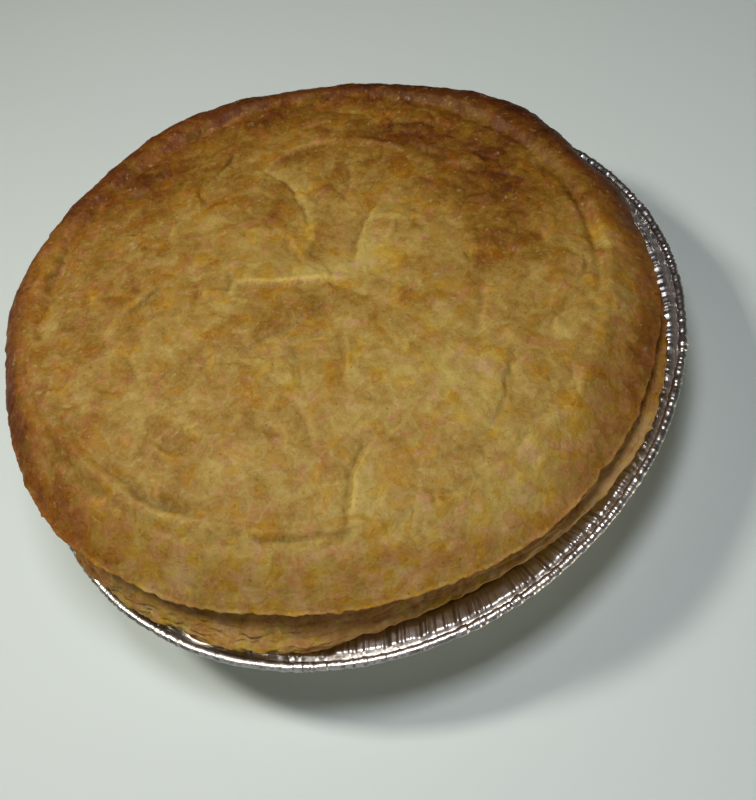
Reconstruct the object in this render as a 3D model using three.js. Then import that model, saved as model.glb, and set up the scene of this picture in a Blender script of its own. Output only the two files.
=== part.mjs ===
// Family steak pie: a puff pastry lid on a filled pastry case, in its own foil dish.
// Millimetres, +Z up. The dish stands on z = 0 and its rim is centred on the Z axis.
import * as THREE from 'three';
import { mergeVertices } from 'three/addons/utils/BufferGeometryUtils.js';

const SEGMENTS = 96; // facets round every turned body
const GAP = 0.3; // clearance between touching pieces

// Foil dish
const DISH_RIM_RADIUS = 112.5; // outside of the rolled bead, before the rim is squeezed
const DISH_HEIGHT = 36; // floor to the top of the bead
const DISH_BASE_RADIUS = 80; // flat part of the base
const DISH_HEEL_RADIUS = 84; // where the rounded heel meets the wall
const DISH_HEEL_HEIGHT = 1.6;
const DISH_WALL = 0.8;
const DISH_FLUTE_DEPTH = 0.35; // crimps pressed down the wall and the flange
const BEAD_RADIUS = 1.6;
const FLANGE_WIDTH = 8; // wall to groove
const FLANGE_RISE = 1.2;
const DISH_SQUEEZE = { x: 0.009, xy: 0.043 }; // the rim is pushed out of round
const FLOOR_SHOULDER = 2; // height of the floor's rounded corner, inside
const BEAD_CENTRE = [DISH_RIM_RADIUS - BEAD_RADIUS, DISH_HEIGHT - BEAD_RADIUS];
const GROOVE_RADIUS = BEAD_CENTRE[0] - 1.6 * BEAD_RADIUS; // between the flange and the bead
const FLANGE_RADIUS = GROOVE_RADIUS - FLANGE_WIDTH; // where the wall turns out
const FLANGE_HEIGHT = BEAD_CENTRE[1] - FLANGE_RISE;

// Filled pastry case
const CASE_RIM_RADIUS = 102; // lower crust, lying on the flange
const CASE_RIM_CENTRE = [-4, -5];
const CASE_SQUEEZE = { x: 0.05, xy: 0.035 };
const CASE_RIM_BOTTOM = 37;
const CASE_NECK_INSET = 14; // where the crust and the lid meet, inside the crust's edge
const CASE_PARTING = { depth: 6, angle: -95, spread: 75 }; // they gape at the front, degrees
const CASE_BULGES = [
  { angle: -171, spread: 16, swell: -1.6 },
  { angle: -116, spread: 24, swell: 3.2 },
  { angle: -42, spread: 50, swell: 2.4 },
];

// Pastry lid
const LID_RADIUS = 107.5;
const LID_CENTRE = [-6, 2];
const LID_BOTTOM = 52; // underside at the middle of the lid
const LID_LIP_HEIGHT = 4.5; // the lip turns up this far above the underside
const LID_EDGE_THICKNESS = 9;
const LID_DOME_HEIGHT = 17.5; // middle of the lid above its underside
const LID_GROOVE_RADIUS = 90.5; // ring pressed in above the dish wall
const LID_GROOVE_CENTRE = [0.8, 6]; // in the lid's own plan
const LID_SHOULDER = 95; // where the underside turns up to the lip
const LID_SLOPE = { x: -0.074, y: -0.022 }; // the lid rose higher on its left side
const LID_FRONT_SAG = 3; // and its lip sags at the front
const LID_DROOP = { depth: 6, angle: -118, spread: 60, from: 76 }; // most at the front left
const LID_BULGES = [
  { angle: 8, spread: 10, swell: 1.8 },
  { angle: 37, spread: 26, swell: 4.6 },
  { angle: 106, spread: 22, swell: 4.2 },
  { angle: 158, spread: 16, swell: 1.9 },
  { angle: 202, spread: 28, swell: 2.6 },
];

// Folds in the lid, in the lid's own plan: end points, sideways bow, depth and half width.
const LID_FOLDS = [
  { from: [-2, 4], to: [-3, 62], bow: -7, depth: 2.4, width: 5 },
  { from: [-6, 60], to: [32, 66], bow: 6, depth: 1.6, width: 5 },
  { from: [14, 2], to: [34, 36], bow: 4, depth: 2.0, width: 5 },
  { from: [-64, 8], to: [-4, 2], bow: 15, depth: 2.4, width: 6 },
  { from: [16, -13], to: [40, -13], bow: 3, depth: 1.2, width: 4 },
  { from: [52, -14], to: [18, -76], bow: 10, depth: 2.2, width: 5 },
  { from: [-10, -84], to: [6, -56], bow: 2, depth: 2.2, width: 5 },
  { from: [-72, -52], to: [-54, -64], bow: -1, depth: 2.0, width: 4 },
];

// Pillows of trapped steam between the folds: middle, reach and height.
const LID_PILLOWS = [
  { at: [-26, -32], reach: 40, height: 2.6 },
  { at: [11, 36], reach: 20, height: 1.6 },
  { at: [48, 14], reach: 30, height: 1.8 },
  { at: [-42, 44], reach: 30, height: 1.4 },
  { at: [24, -42], reach: 26, height: 1.2 },
];

// How far a rim leaves its round, as a factor on its radius.
function squeezed(angle, squeeze) {
  return 1 + squeeze.x * Math.cos(2 * angle) + squeeze.xy * Math.sin(2 * angle);
}

// Share of the way from a to b, held between 0 and 1.
function share(value, a, b) {
  return THREE.MathUtils.clamp((value - a) / (b - a), 0, 1);
}

// 1 at a middle angle, easing to 0 at a spread to either side of it. The angle is in radians,
// the middle and the spread are in degrees.
function aroundTo(angle, middle, spread) {
  const turn = THREE.MathUtils.radToDeg(angle) - middle;
  const away = Math.abs(THREE.MathUtils.euclideanModulo(turn + 180, 360) - 180);
  return 0.5 + 0.5 * Math.cos(Math.PI * share(away, 0, spread));
}

// How far a hand-made edge swells beyond its round.
function swollen(angle, bulges) {
  return bulges.reduce((total, bulge) => (
    total + bulge.swell * aroundTo(angle, bulge.angle, bulge.spread)), 0);
}

// How far the lid's edge hangs at its front left.
function lidDroop(angle, radius) {
  const part = share(radius, LID_DROOP.from, LID_RADIUS) ** 1.5;
  return LID_DROOP.depth * aroundTo(angle, LID_DROOP.angle, LID_DROOP.spread) * part;
}

// How far the lid stands above or below its level at the middle: its slope, front sag and droop.
function lidShift(x, y) {
  const dx = x - LID_CENTRE[0];
  const dy = y - LID_CENTRE[1];
  const radius = Math.hypot(dx, dy);
  const front = Math.max(0, -dy / Math.max(radius, 1)) ** 2;
  const sag = LID_FRONT_SAG * front * share(radius, LID_SHOULDER, LID_RADIUS);
  return LID_SLOPE.x * dx + LID_SLOPE.y * dy - sag - lidDroop(Math.atan2(dy, dx), radius);
}

// Height of the lid's underside, which is flat to its shoulder and turns up to its lip.
function lidUnderside(x, y) {
  const radius = Math.hypot(x - LID_CENTRE[0], y - LID_CENTRE[1]);
  return LID_BOTTOM + LID_LIP_HEIGHT * share(radius, LID_SHOULDER, LID_RADIUS) + lidShift(x, y);
}

// Slow waves round a hand-made pastry edge, about -1 to 1.
function edgeWave(angle, phase) {
  const waves = [3, 5, 8, 13];
  const sum = waves.reduce((total, n) => total + Math.sin(n * angle + phase * n * n), 0);
  return sum / waves.length;
}

// A closed body turned about Z from [radius, height] points that start and end on the axis.
// place(radius, angle, height) then says where each point of it lies.
function turned(profile, place) {
  const points = profile.map(([radius, height]) => new THREE.Vector2(radius, height));
  const lathe = new THREE.LatheGeometry(points, SEGMENTS);
  lathe.rotateX(Math.PI / 2);
  lathe.deleteAttribute('normal');
  lathe.deleteAttribute('uv');
  const body = mergeVertices(lathe, 1e-3);
  const position = body.attributes.position;
  for (let i = 0; i < position.count; i++) {
    const x = position.getX(i);
    const y = position.getY(i);
    const placed = place(Math.hypot(x, y), Math.atan2(y, x), position.getZ(i));
    position.setXYZ(i, ...placed);
  }
  body.computeVertexNormals();
  return body;
}

// The dish keeps a round base and takes up its squeeze and its crimps towards the rim.
function placeInDish(radius, angle, height) {
  const rise = share(height, 0, DISH_HEIGHT);
  const crimp = DISH_FLUTE_DEPTH * share(height, DISH_HEEL_HEIGHT, DISH_HEIGHT / 3);
  const fluted = radius + crimp * share(radius, DISH_BASE_RADIUS / 2, DISH_BASE_RADIUS)
    * Math.cos((SEGMENTS / 2) * angle);
  const factor = 1 + rise * (squeezed(angle, DISH_SQUEEZE) - 1);
  return [fluted * factor * Math.cos(angle), fluted * factor * Math.sin(angle), height];
}

// Inside radius of the dish wall at a height, before the squeeze.
function dishInside(height) {
  const foot = DISH_HEEL_RADIUS - 1.2 * DISH_WALL;
  const head = FLANGE_RADIUS - 1 - 1.1 * DISH_WALL;
  return foot + (head - foot) * share(height, FLOOR_SHOULDER, FLANGE_HEIGHT - 1.8);
}

function foilDish() {
  const bead = [-120, -75, -30, 15, 60, 105, 150].map((degrees) => {
    const turn = THREE.MathUtils.degToRad(degrees);
    return [
      BEAD_CENTRE[0] + BEAD_RADIUS * Math.cos(turn),
      BEAD_CENTRE[1] + BEAD_RADIUS * Math.sin(turn),
    ];
  });
  const outside = [
    [0, 0],
    [DISH_BASE_RADIUS, 0],
    [DISH_HEEL_RADIUS, DISH_HEEL_HEIGHT],
    [FLANGE_RADIUS - 1, FLANGE_HEIGHT - 2.4],
    [FLANGE_RADIUS + 1, FLANGE_HEIGHT - 1],
    [GROOVE_RADIUS - 1.6, FLANGE_HEIGHT + FLANGE_RISE - 1],
    [GROOVE_RADIUS, FLANGE_HEIGHT - 0.6],
  ];
  const inside = [
    [GROOVE_RADIUS, FLANGE_HEIGHT + 0.2],
    [GROOVE_RADIUS - 1.6, FLANGE_HEIGHT + FLANGE_RISE - 0.2],
    [FLANGE_RADIUS, FLANGE_HEIGHT],
    [dishInside(FLANGE_HEIGHT - 1.8), FLANGE_HEIGHT - 1.8],
    [dishInside(FLOOR_SHOULDER), FLOOR_SHOULDER],
    [DISH_BASE_RADIUS, DISH_WALL],
    [0, DISH_WALL],
  ];
  return turned([...outside, ...bead, ...inside], placeInDish);
}

// The case fits the dish up to its flange. Above that it follows the lower crust's own
// outline, and its height there is a share of the room under the lid.
function placeCase(radius, angle, height) {
  const inDish = placeInDish(radius, angle, height);
  const neck = CASE_RIM_RADIUS - CASE_NECK_INSET;
  const wave = (0.3 * edgeWave(angle, 0.7) + swollen(angle, CASE_BULGES))
    * share(radius, neck, CASE_RIM_RADIUS);
  const reach = (radius + wave) * squeezed(angle, CASE_SQUEEZE);
  const overFlange = share(height, CASE_RIM_BOTTOM - 3, CASE_RIM_BOTTOM - 1.5);
  const x = THREE.MathUtils.lerp(inDish[0], CASE_RIM_CENTRE[0] + reach * Math.cos(angle), overFlange);
  const y = THREE.MathUtils.lerp(inDish[1], CASE_RIM_CENTRE[1] + reach * Math.sin(angle), overFlange);
  if (height <= CASE_RIM_BOTTOM) return [x, y, height];
  const room = lidUnderside(x, y) - GAP - CASE_RIM_BOTTOM;
  const open = CASE_PARTING.depth * aroundTo(angle, CASE_PARTING.angle, CASE_PARTING.spread)
    * share(radius, neck, CASE_RIM_RADIUS - 2);
  const part = share(height, CASE_RIM_BOTTOM, LID_BOTTOM - GAP);
  return [x, y, CASE_RIM_BOTTOM + part * (room - open)];
}

function pastryCase() {
  const floor = DISH_WALL + GAP;
  const foot = FLOOR_SHOULDER + 1.2;
  const wallTop = FLANGE_HEIGHT - 2.4;
  const top = LID_BOTTOM - GAP;
  const rimTop = top - 2;
  const neck = CASE_RIM_RADIUS - CASE_NECK_INSET;
  const layer = (rimTop - CASE_RIM_BOTTOM) / 4; // the crust parts into flaky layers at its side
  return turned([
    [0, floor],
    [DISH_BASE_RADIUS - GAP, floor],
    [dishInside(foot) - 1.8 * GAP, foot],
    [dishInside(wallTop) - 1.8 * GAP, wallTop],
    [dishInside(wallTop) - 2, CASE_RIM_BOTTOM - 3],
    [CASE_RIM_RADIUS - 8, CASE_RIM_BOTTOM - 1.5],
    [CASE_RIM_RADIUS, CASE_RIM_BOTTOM],
    [CASE_RIM_RADIUS + 0.8, CASE_RIM_BOTTOM + layer],
    [CASE_RIM_RADIUS - 0.8, CASE_RIM_BOTTOM + 2 * layer],
    [CASE_RIM_RADIUS, CASE_RIM_BOTTOM + 3 * layer],
    [CASE_RIM_RADIUS - 2, rimTop],
    [neck, top - 1.2],
    [neck - 0.5, top],
    [neck - 6, top],
    [neck - 12, top],
    [0, top],
  ], placeCase);
}

// A fold's line as points on a bowed curve.
function foldLine({ from, to, bow }) {
  const start = new THREE.Vector2(...from);
  const end = new THREE.Vector2(...to);
  const along = end.clone().sub(start).normalize();
  const middle = start.clone().add(end).multiplyScalar(0.5);
  middle.add(new THREE.Vector2(-along.y, along.x).multiplyScalar(bow));
  return new THREE.QuadraticBezierCurve(start, middle, end).getPoints(16);
}

const foldLines = LID_FOLDS.map(foldLine);

// Folds and pillows on the lid's top, in the lid's own plan.
function lidRelief(x, y) {
  const point = new THREE.Vector2(x, y);
  let height = 0;
  LID_FOLDS.forEach(({ depth, width }, i) => {
    const distance = Math.min(...foldLines[i].map((step) => step.distanceTo(point)));
    height -= depth * Math.exp(-((distance / width) ** 2));
  });
  for (const pillow of LID_PILLOWS) {
    const distance = point.distanceTo(new THREE.Vector2(...pillow.at));
    height += pillow.height * Math.exp(-((distance / pillow.reach) ** 2));
  }
  return height;
}

function placeLid(radius, angle, height) {
  const edge = share(radius, LID_SHOULDER, LID_RADIUS);
  const drooped = lidDroop(angle, radius) * (0.39 + 0.85 * Math.sin(angle));
  const swell = swollen(angle, LID_BULGES) - 0.2 + 0.6 * edgeWave(angle, 2.3);
  const reach = radius + edge * swell + drooped;
  const onTop = share(height, LID_BOTTOM + LID_LIP_HEIGHT, LID_BOTTOM + LID_EDGE_THICKNESS);
  const offCentre = onTop * (1 - share(radius, LID_GROOVE_RADIUS, LID_RADIUS));
  const x = reach * Math.cos(angle) + offCentre * LID_GROOVE_CENTRE[0];
  const y = reach * Math.sin(angle) + offCentre * LID_GROOVE_CENTRE[1];
  const relief = onTop * (1 - edge) * lidRelief(x, y);
  const px = x + LID_CENTRE[0];
  const py = y + LID_CENTRE[1];
  return [px, py, height + relief + lidShift(px, py)];
}

function pastryLid() {
  const lip = LID_BOTTOM + LID_LIP_HEIGHT;
  const edgeTop = lip + LID_EDGE_THICKNESS;
  const dome = LID_BOTTOM + LID_DOME_HEIGHT;
  // The dome falls from the middle to the ring groove in an arc.
  const domed = [0.92, 0.82, 0.69, 0.56, 0.42, 0.28, 0.14].map((part) => (
    [LID_GROOVE_RADIUS * part, dome - (dome - edgeTop + 0.5) * part ** 2]
  ));
  return turned([
    [0, LID_BOTTOM],
    [LID_DROOP.from, LID_BOTTOM],
    [(LID_DROOP.from + LID_SHOULDER) / 2, LID_BOTTOM],
    [LID_SHOULDER, LID_BOTTOM],
    [LID_RADIUS, lip],
    [LID_RADIUS + 0.4, lip + 0.3 * LID_EDGE_THICKNESS],
    [LID_RADIUS - 0.8, lip + 0.7 * LID_EDGE_THICKNESS],
    [LID_RADIUS - 3, edgeTop],
    [LID_RADIUS - 8, edgeTop + 1.6],
    [LID_RADIUS - 14, edgeTop + 1],
    [LID_GROOVE_RADIUS, edgeTop - 1.4],
    ...domed,
    [0, dome],
  ], placeLid);
}

const pie = new THREE.Group();

function add(name, geometry, finish) {
  const mesh = new THREE.Mesh(geometry, new THREE.MeshStandardMaterial(finish));
  mesh.name = name;
  pie.add(mesh);
}

add('foil_dish', foilDish(), { color: '#b9b6ad', roughness: 0.32, metalness: 1 });
add('pastry_case', pastryCase(), { color: '#b98a45', roughness: 0.75, metalness: 0 });
add('pastry_lid', pastryLid(), { color: '#c08f45', roughness: 0.6, metalness: 0 });

export default pie;
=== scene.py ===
"""Family steak pie in its own foil dish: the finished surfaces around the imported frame."""
import math

import bmesh
import bpy
import numpy as np
from mathutils import Matrix, Vector, noise


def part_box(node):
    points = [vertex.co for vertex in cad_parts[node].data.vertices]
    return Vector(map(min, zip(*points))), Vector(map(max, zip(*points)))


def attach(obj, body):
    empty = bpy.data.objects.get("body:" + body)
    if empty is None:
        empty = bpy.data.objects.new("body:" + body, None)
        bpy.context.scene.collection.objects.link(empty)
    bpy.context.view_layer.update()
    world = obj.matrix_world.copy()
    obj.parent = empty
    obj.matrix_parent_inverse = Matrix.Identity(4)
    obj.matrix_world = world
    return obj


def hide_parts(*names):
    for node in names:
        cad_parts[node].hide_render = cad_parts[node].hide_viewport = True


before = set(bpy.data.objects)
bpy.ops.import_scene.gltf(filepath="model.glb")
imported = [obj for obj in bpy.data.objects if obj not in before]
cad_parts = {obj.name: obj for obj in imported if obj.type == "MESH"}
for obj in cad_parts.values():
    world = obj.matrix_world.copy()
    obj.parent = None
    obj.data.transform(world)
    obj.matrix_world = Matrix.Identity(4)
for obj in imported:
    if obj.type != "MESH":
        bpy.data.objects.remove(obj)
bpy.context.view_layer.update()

MM = 0.001
TURN = 2 * math.pi
NOISE_RING = 100 * MM

# The frame's boxes give how high the dish and the lid reach.
dish_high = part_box("foil_dish")[1]
lid_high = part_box("pastry_lid")[1]

# Foil dish
BEAD_RADIUS = 1.6 * MM
DISH_RIM = 112.5 * MM  # outside of the rolled bead, before the rim is squeezed
BEAD_CENTRE = (DISH_RIM - BEAD_RADIUS, dish_high.z - BEAD_RADIUS)
GROOVE = BEAD_CENTRE[0] - 1.6 * BEAD_RADIUS
FLANGE = GROOVE - 8 * MM
FLANGE_HEIGHT = BEAD_CENTRE[1] - 1.2 * MM
BASE = 80 * MM  # radius of the flat base
BASE_STEP = 0.9 * MM  # the ring pressed up in the base
BASE_CLEARANCE = 0.06 * MM  # the lowest skin stays this far above the worktop
HEEL = 84 * MM  # radius where the wall starts
HEEL_BEND = 4.3 * MM
FOIL = 0.12 * MM
DISH_SQUEEZE = (0.009, 0.043)
PLEATS = 236
BOWL_STEPS = 1200  # points round the bowl, five to a pleat
RIM_STEPS = 2640  # and round the rim, eleven to a pleat

# Pastry case
GAP = 0.35 * MM  # clearance between pieces that touch
CRUST = 102 * MM  # radius, before bulges and squeeze
CRUST_CENTRE = Vector((-4, -5)) * MM
CRUST_SQUEEZE = (0.05, 0.035)
CRUST_BOTTOM = 37 * MM
CRUST_LAYER = 1.7 * MM  # thickness of one flaky layer at the crust's edge
CRUST_STEPS = 960
NECK = CRUST - 14 * MM  # the case meets the lid inside this radius
CASE_FLOOR = 1.1 * MM
PARTING_DEPTH = 3.0 * MM

# Pastry lid
LID_CENTRE = Vector((-6, 2)) * MM
LID_RADIUS = 107.5 * MM
LID_BOTTOM = 52 * MM
LID_LIP = 4.5 * MM
LID_EDGE = 9 * MM
LID_DOME = 17.5 * MM
LID_SHOULDER = 95 * MM
LID_LAYER = 1.4 * MM  # thickness of one flaky layer at the lid's side
LID_LAYERED = 20 * MM  # height of layers that one unit of the blank's height stands for
LID_SLOPE = (-0.074, -0.022)
LID_SAG = 3 * MM
LID_CELLS = 274  # squares across the lid's top, 0.8 mm each
LID_CEILING = lid_high.z - 2 * MM  # above this the dome rises ever less
LID_GIVE = 1.8 * MM  # and by no more than this
RING_CENTRE = Vector((0.8, 6)) * MM  # the ring pressed into the lid, in the lid's own plan
RING_RADIUS = 90.5 * MM

# Case top and lid underside
CASE_TOP = LID_BOTTOM - GAP
RIM_TOP = CASE_TOP - 2 * MM

# How far each pattern lifts the pastry, in millimetres, and how much it browns it, as a share
# from pale to dark.
CRUST_RELIEF = {"layers": 0.9, "seams": -0.4, "crumbs": 0.22, "waves": 0.4}
CRUST_BAKING = {"layers": 0.16, "crumbs": 0.1, "waves": 0.08}
LID_RELIEF = {"waves": 0.45, "bumps": 0.3, "blisters": 0.45, "crumbs": 0.15, "flakes": 0.2,
              "chips": 0.12}
LID_BAKING = {"waves": 0.06, "bumps": 0.05, "blisters": 0.07, "flakes": 0.05}

# Bulges round an edge: angle and spread in degrees, and size in millimetres.
CRUST_BULGES = [(-171, 16, -1.6), (-143, 16, 1.0), (-116, 24, 3.2), (-46, 46, 3.7)]
LID_BULGES = [(8, 10, 1.8), (37, 26, 4.6), (106, 22, 4.2), (158, 16, 1.9), (202, 28, 2.6),
              (-44, 28, -0.9)]
LID_DROOPS = [(-118, 60, 6), (-38, 45, 2.5)]  # the lid's edge hangs by this much

# Stretches of the edge: middle angle, and how far the stretch fades out to either side.
DISHED = (math.radians(-75), math.radians(65))  # the flange tilts down towards the pie
PARTING = (math.radians(-82), math.radians(50))  # the crust and the lid gape
MERGED = (math.radians(-144), math.radians(56))  # the crust and the lid are one flaky edge
DROOPED = (math.radians(-50), math.radians(75))  # the lid's lip hangs lower
CURLED = (math.radians(-42), math.radians(60))  # the crust's edge curls up
RING_FADED = (math.radians(-88), math.radians(50))  # the ring in the lid is shallow
# Painted light on the crust's face under the lid's edge: paler at the front right, and at the front
# left where it meets the lid.
PAINTED_LIGHT_CRUST = (math.radians(-55), math.radians(60))
PAINTED_LIGHT_MERGED_CRUST = (math.radians(-125), math.radians(40))
BROWN_CRUST = (math.radians(5), math.radians(48))
# Painted light: the crust's face is painted brighter here.
PAINTED_BRIGHT_CRUST = (math.radians(-52), math.radians(60))
BROWN_BACK = (math.radians(45), math.radians(110))  # of the lid's rim, like the two below
BROWN_LEFT = (math.radians(175), math.radians(65))
# Painted light: the lid's rim is painted paler at the front.
PAINTED_LIGHT_FRONT = (math.radians(-112), math.radians(52))
PLAIN_BACK = (math.radians(45), math.radians(85))  # no blush here

# The lid's blank says by height where a point belongs: the top lies at 1, the side face runs
# down from there to 0.5, and the underside lies at 0.4.
TOP_FROM = 0.96
SIDE_END = 0.5
SIDE_FROM = 0.45
UNDERSIDE = 0.4
ROUNDING = (1.8, 1.1, 0.6, 0.25, 0.0)  # rings of the top's rounded edge, millimetres from the side
SIDE_LEVELS = (0.92, 0.84, 0.76, 0.68, 0.6, SIDE_END)
UNDERSIDE_RADII = (106, 104, 101, 98, 95, 60)  # in millimetres

# Folds in the lid, in millimetres in its own plan: two ends, how far the line bows to its left,
# groove depth, which also sets the painted shade in the groove, half width, how far the sheet on
# its left stands above the right, which also sets the painted highlight on the raised side, and
# how much browner that sheet is, as a share from pale to dark.
FOLDS = [
    ((-4, 61), (3, 31), 3, 0.6, 1.4, -0.8, -0.15),
    ((-3, 61), (23, 67), 3, 0.3, 1.2, 0.9, -0.13),
    ((13, 3), (30, 31), 3, 1.3, 1.5, -0.7, 0.12),
    ((24, 9), (36, 26), -2, 0.1, 1.6, 0.5, -0.08),
    ((7, 50), (10, 38), -1, 0.9, 1.0, 0.3, 0.08),
    ((24, 53), (18, 36), 1, 0.7, 1.3, 0.4, -0.06),
    ((6, 31), (0, 17), 2, 0.3, 1.2, -0.6, 0.1),
    ((-3, 28), (-1, 10), -1, 0.4, 1.1, 0.7, -0.06),
    ((-24, 12), (8, 1), -2, 0.3, 1.3, 1.5, -0.14),
    ((-29, 7), (-24, 18), 0, 1.1, 1.1, 0.2, 0.04),
    ((-63, 10), (-48, 20), 1, 1.2, 1.0, 0.7, -0.04),
    ((-24, 65), (-13, 77), -1, 1.2, 1.2, 0.6, 0.06),
    ((-46, 47), (-36, 48), 1, 0.9, 1.1, 0.4, 0.05),
    ((-54, 68), (-47, 69), 0, 0.9, 1.1, 0.2, 0.05),
    ((-16, 34), (2, 28), -2, 0.3, 1.4, 0.6, 0.12),
    ((-60, 1), (-61, -20), -2, 0.7, 1.2, 0.3, -0.04),
    ((4, -1), (18, -15), 1, 0.2, 1.3, -0.5, -0.13),
    ((19, -14), (38, -9), 0, -0.6, 0.8, 0.5, -0.03),
    ((-30, -19), (4, -7), -1, 0.6, 2.0, 0.5, 0.06),
    ((-42, -21), (-34, -15), 1, 0.6, 1.3, 0.5, 0.05),
    ((59, 26), (50, 12), 1, 0.8, 1.3, 0.4, 0.08),
    ((46, 58), (58, 42), -1, 0.9, 1.4, 0.4, 0.05),
    ((29, 65), (43, 54), 1, -0.4, 1.1, 0.6, 0.14),
    ((36, 71), (60, 62), 2, 0.5, 1.6, 0.4, -0.08),
    ((-60, -26), (-67, -45), 2, 0.7, 1.3, 0.3, 0.04),
    ((-77, -42), (-68, -58), 2, 1.1, 1.3, -0.3, 0.06),
    ((-70, -52), (-53, -67), -1, 2.0, 2.3, 0.2, 0.04),
    ((4, -22), (-2, -40), 1, 0.4, 1.1, 0.6, -0.09),
    ((-13, -22), (-12, -38), 0, 0.7, 2.0, 0.2, 0.05),
    ((-18, -40), (-15, -60), 1, 0.6, 1.4, 0.3, -0.04),
    ((-44, -51), (-36, -47), 0, 0.5, 1.8, 0.3, 0.04),
    ((-12, -88), (3, -61), 3, 1.1, 1.2, -1.0, 0.09),
    ((2, -62), (15, -57), -1, 0.4, 1.0, -0.4, 0.03),
    ((-17, -62), (-18, -76), 0, 0.5, 1.1, 0.2, 0.03),
    ((17, -75), (34, -69), -1, 0.6, 1.5, 0.4, -0.04),
    ((33, -70), (50, -42), -2, 0.9, 1.8, 0.4, -0.05),
    ((52, -16), (41, -41), -1, 0.7, 1.5, 0.5, -0.07),
    ((-46, -75), (-9, -87), -3, 0.9, 1.5, 0.3, 0.08),
    ((-6, -87), (42, -76), -3, 0.8, 1.7, 0.2, 0.03),
    ((-27, -103), (12, -97), -2, 0.5, 1.8, 0.3, -0.06),
    ((-67, -76), (-57, -91), 2, 0.5, 1.6, 0.3, -0.06),
]

# Pillows of trapped steam between the folds: middle, reach and height, in millimetres.
PILLOWS = [
    ((-28, -34), 42, 1.8),
    ((-30, -4), 16, 1.2),
    ((-16, 46), 14, 1.6),
    ((10, 24), 15, -1.6),
    ((26, 20), 8, 1.4),
    ((52, 8), 24, 1.2),
    ((-46, 44), 24, 1.2),
    ((24, -46), 22, 1.4),
    ((72, -20), 16, 0.8),
    ((4, 84), 20, 0.8),
]

# Where the oven browned the lid more or less: middle, reach along x and y in millimetres, and
# amount as a share from pale to dark.
TOASTING = [
    ((62, 58), 40, 36, 0.3),
    ((5, 92), 62, 20, 0.28),
    ((-52, 74), 34, 26, 0.27),
    ((-10, 46), 12, 15, 0.14),
    ((12, 64), 12, 5, 0.08),
    ((10, 22), 6, 14, 0.06),
    ((46, 62), 12, 7, 0.18),
    ((-4, 69), 6, 8, -0.1),
    ((6, 5), 15, 6, -0.22),
    ((28, 8), 22, 22, -0.12),
    ((6, 40), 4, 14, -0.12),
    ((-12, 16), 12, 10, -0.08),
    ((-8, -8), 16, 6, 0.08),
    ((70, 14), 18, 34, 0.26),
    ((-72, 40), 24, 34, 0.1),
    ((-100, 14), 9, 40, 0.16),
    ((46, -6), 26, 26, 0.07),
    ((30, -50), 36, 28, -0.15),
    ((-40, -40), 40, 34, -0.03),
    ((48, -84), 30, 16, -0.09),
    ((0, -92), 44, 14, -0.1),
    ((86, -28), 14, 24, -0.16),
    ((88, 6), 12, 20, -0.08),
    ((99, 18), 12, 34, 0.2),
    ((92, -46), 16, 26, 0.1),
    ((-16, -99), 30, 5, 0.14),
    ((-62, -84), 10, 8, 0.12),
    ((-46, -76), 30, 16, -0.08),
    ((-84, -44), 14, 26, 0.08),
]
SMALL_FOLDS = 260
SMALL_FOLD_SEED = 23
FOLD_STEPS = 24  # straight pieces along the line of a fold

# Patterns of baked pastry: feature size in millimetres, detail, roughness and distortion.
PASTRY_NOISES = {
    "toasting": (22, 2, 0.5, 0.3),
    "sheet": (8, 3, 0.5, 0.3),
    "amber": (8, 3, 0.55, 0.3),
    "blotch": (6, 5, 0.6, 0.4),
    "pink": (5, 3, 0.55, 0.3),
    "blister": (2.4, 3, 0.6, 0.3),
    "relief": (2.2, 5, 0.62, 0.3),
    "painted_glint": (2.2, 3, 0.6, 0.3),
    "speck": (1.7, 2, 0.7, 0.5),
    "grit": (0.9, 2, 0.6, 0.0),
}
PASTRY_CELLS = {"flake": 4.5, "chip": 1.9}  # sizes in millimetres
CELL_SHARES = ("tone", "pink", "amber")  # what the three random shares of a cell change
PASTRY_SHEETS = 6.0  # lifted sheets across the range of the sheet noise
CELL_BEND = 6 * MM  # how far the outlines of flakes and chips wander

# How much each pattern browns the skin, as a share from pale to dark.
BROWNING = {"sheet": -0.1, "blotch": 0.34, "toasting": 0.28, "blister": 0.22, "grit": 0.22,
            "flake tone": 0.08, "chip tone": 0.07}

# The skin's colours from pale to dark: olive gold, deeper amber, and pinkish brown.
GOLDEN = ("#b39b50", "#9f803a", "#835e18", "#613608", "#3c1a02")
AMBER = ("#b69434", "#a2761c", "#885308", "#643203", "#3e1801")
PINKISH = ("#b79461", "#a67840", "#8c5826", "#66340f", "#401a06")
# Painted glints: small pale flecks that stand in for highlights on the egg wash.
PAINTED_GLINT = "#b09c6c"
BURNT_SPECK = "#5a3010"

# Soft square lamps: name, place and size in metres, power in watts, and colour.
LAMPS = [
    ("side_lamp", (-0.34, 0.12, 0.6), 0.1, 2.4, "#fff9f0"),
    ("overhead_lamp", (0.02, -0.1, 0.55), 0.14, 1.3, "#f8f7ff"),
    ("front_lamp", (-0.55, -0.8, 0.5), 0.8, 0.65, "#f8fbff"),
]
LAMP_AIM = Vector((0, 0, 40)) * MM
LOW_LIGHT_WIDTH = math.radians(14)  # as seen from the pie, so that its shadows are soft
WORKTOP_REACH = 3.0  # metres to each side

# Viewpoint
ELEVATION = math.radians(54.7)
ROLL = math.radians(-19.0)
DISTANCE = 371.6 * MM
TARGET = Vector((1.0 * MM, -19.8 * MM, 30 * MM))
SENSOR = 36.0  # millimetres, as is the lens
LENS = 49.5


def share(value, low, high):
    """Share of the way from low to high, held between 0 and 1."""
    return np.clip((value - low) / (high - low), 0.0, 1.0)


def eased(value, low, high):
    """The same share with a soft start and end."""
    part = share(value, low, high)
    return part * part * (3 - 2 * part)


def hump(away, width):
    """1 where away is 0, fading to both sides over about twice the width."""
    return np.exp(-(away / width) ** 2)


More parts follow.
